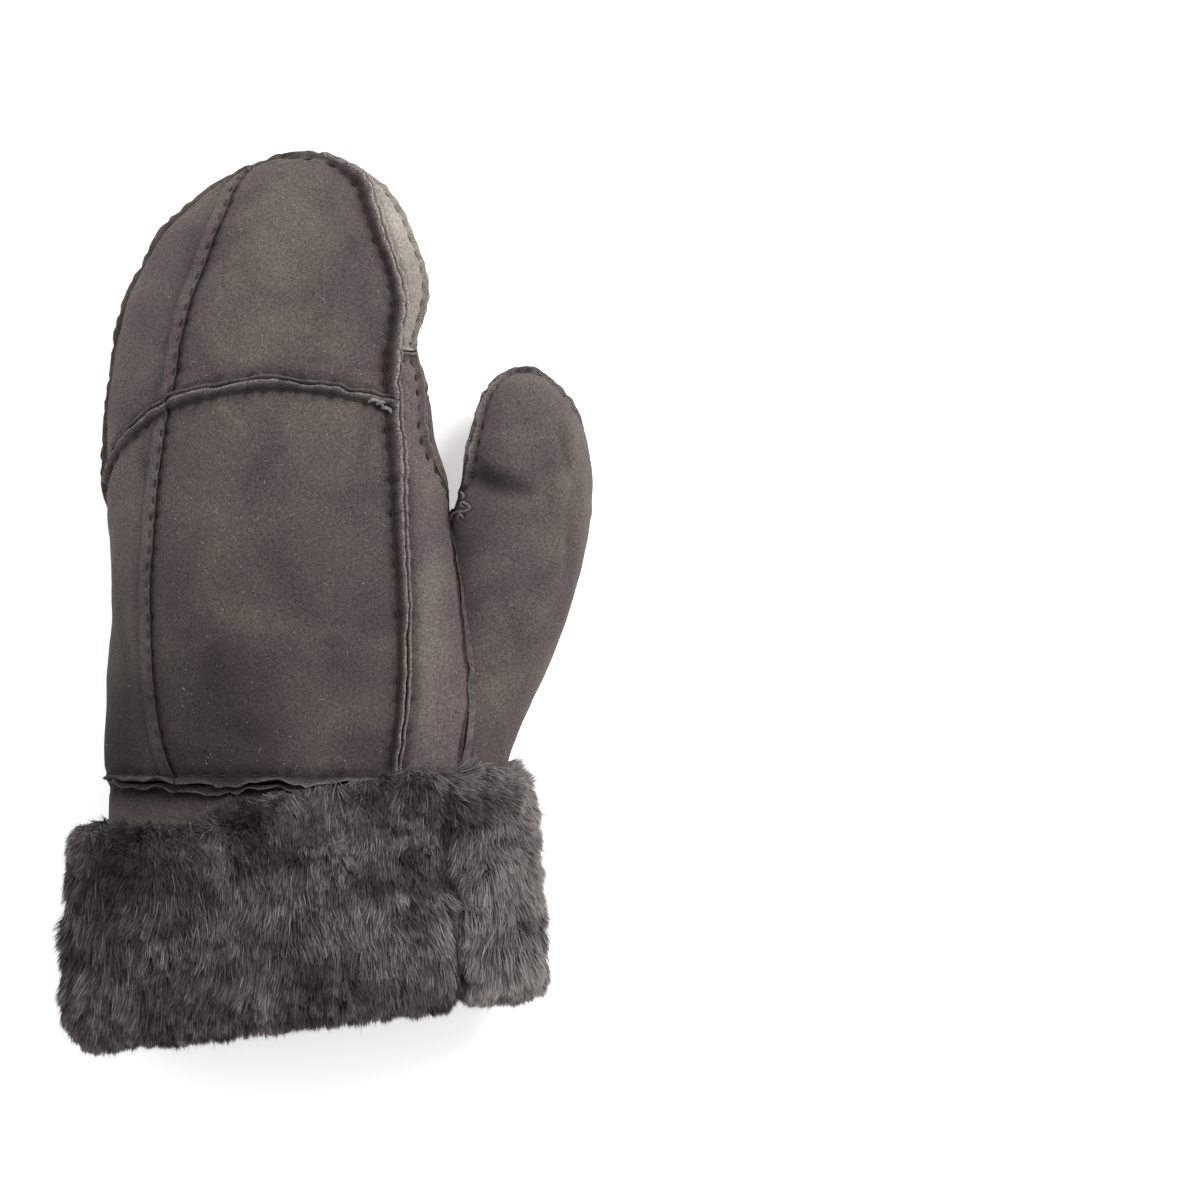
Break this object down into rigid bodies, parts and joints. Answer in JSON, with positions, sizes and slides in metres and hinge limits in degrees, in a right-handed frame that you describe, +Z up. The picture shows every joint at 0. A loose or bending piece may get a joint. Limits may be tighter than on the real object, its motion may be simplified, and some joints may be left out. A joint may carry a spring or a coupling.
{
  "type": "fur mitten",
  "caption": "left-hand shearling mitten, suede side out, with raised patchwork seams and a turned-back fur cuff, lying on its palm",
  "frame": {"origin": "on the flat underside of the palm, on the middle line of the hand, level with the crotch of the thumb", "axes": "+X to the thumb, +Y to the fingertips, +Z up through the back of the hand"},
  "size_m": [0.1644, 0.2788, 0.0702],
  "materials": {
    "suede": "brown-grey sheepskin suede, matt and napped",
    "pale_suede": "paler brown-grey sheepskin suede, matt and napped",
    "fur": "dense dark grey-brown sheep fur, soft and matt"
  },
  "bodies": {
    "root": {"back_panel": "suede", "side_panel": "suede", "inner_gusset": "suede", "back_tip_panel": "suede", "side_tip_panel": "suede", "tip_gusset": "pale_suede", "palm_panel": "suede", "thumb_back": "suede", "thumb_palm": "suede", "wrist_band": "suede", "fur_cuff": "fur"}
  },
  "joints": []
}
